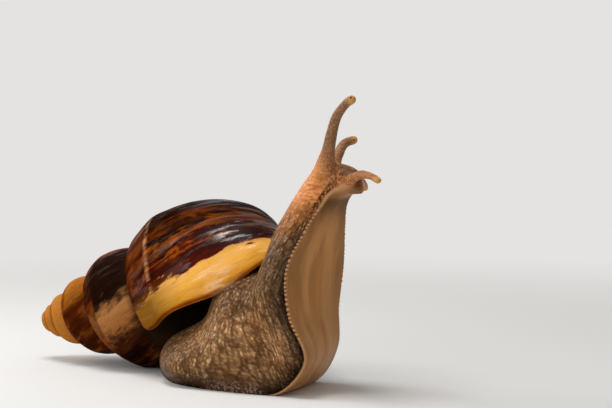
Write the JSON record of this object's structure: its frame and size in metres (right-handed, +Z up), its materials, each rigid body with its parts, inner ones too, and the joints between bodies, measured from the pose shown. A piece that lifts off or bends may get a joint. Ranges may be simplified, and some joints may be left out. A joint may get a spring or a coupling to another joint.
{
  "type": "giant african land snail",
  "caption": "Life-size giant African land snail, foot and shell on the ground, neck and head raised, feelers out.",
  "frame": {"origin": "middle of the base of the whole animal, on the ground", "axes": "+X the way the animal heads, +Y its left, +Z up"},
  "size_m": [0.1154, 0.0478, 0.0713],
  "materials": {
    "shell": "glossy shell, chestnut brown with amber streaks and a golden lip",
    "flesh": "moist skin, grey-brown to tan, covered in low warts",
    "eye": "wet, dark"
  },
  "bodies": {
    "root": {"shell": "shell", "foot_rear": "flesh", "foot_front": "flesh", "mantle": "flesh", "neck_lower": "flesh", "neck_upper": "flesh", "head": "flesh", "mouth": "flesh", "feeler_upper_right": "flesh", "feeler_upper_left": "flesh", "feeler_lower_right": "flesh", "feeler_lower_left": "flesh", "eye_right": "eye", "eye_left": "eye"}
  },
  "joints": []
}
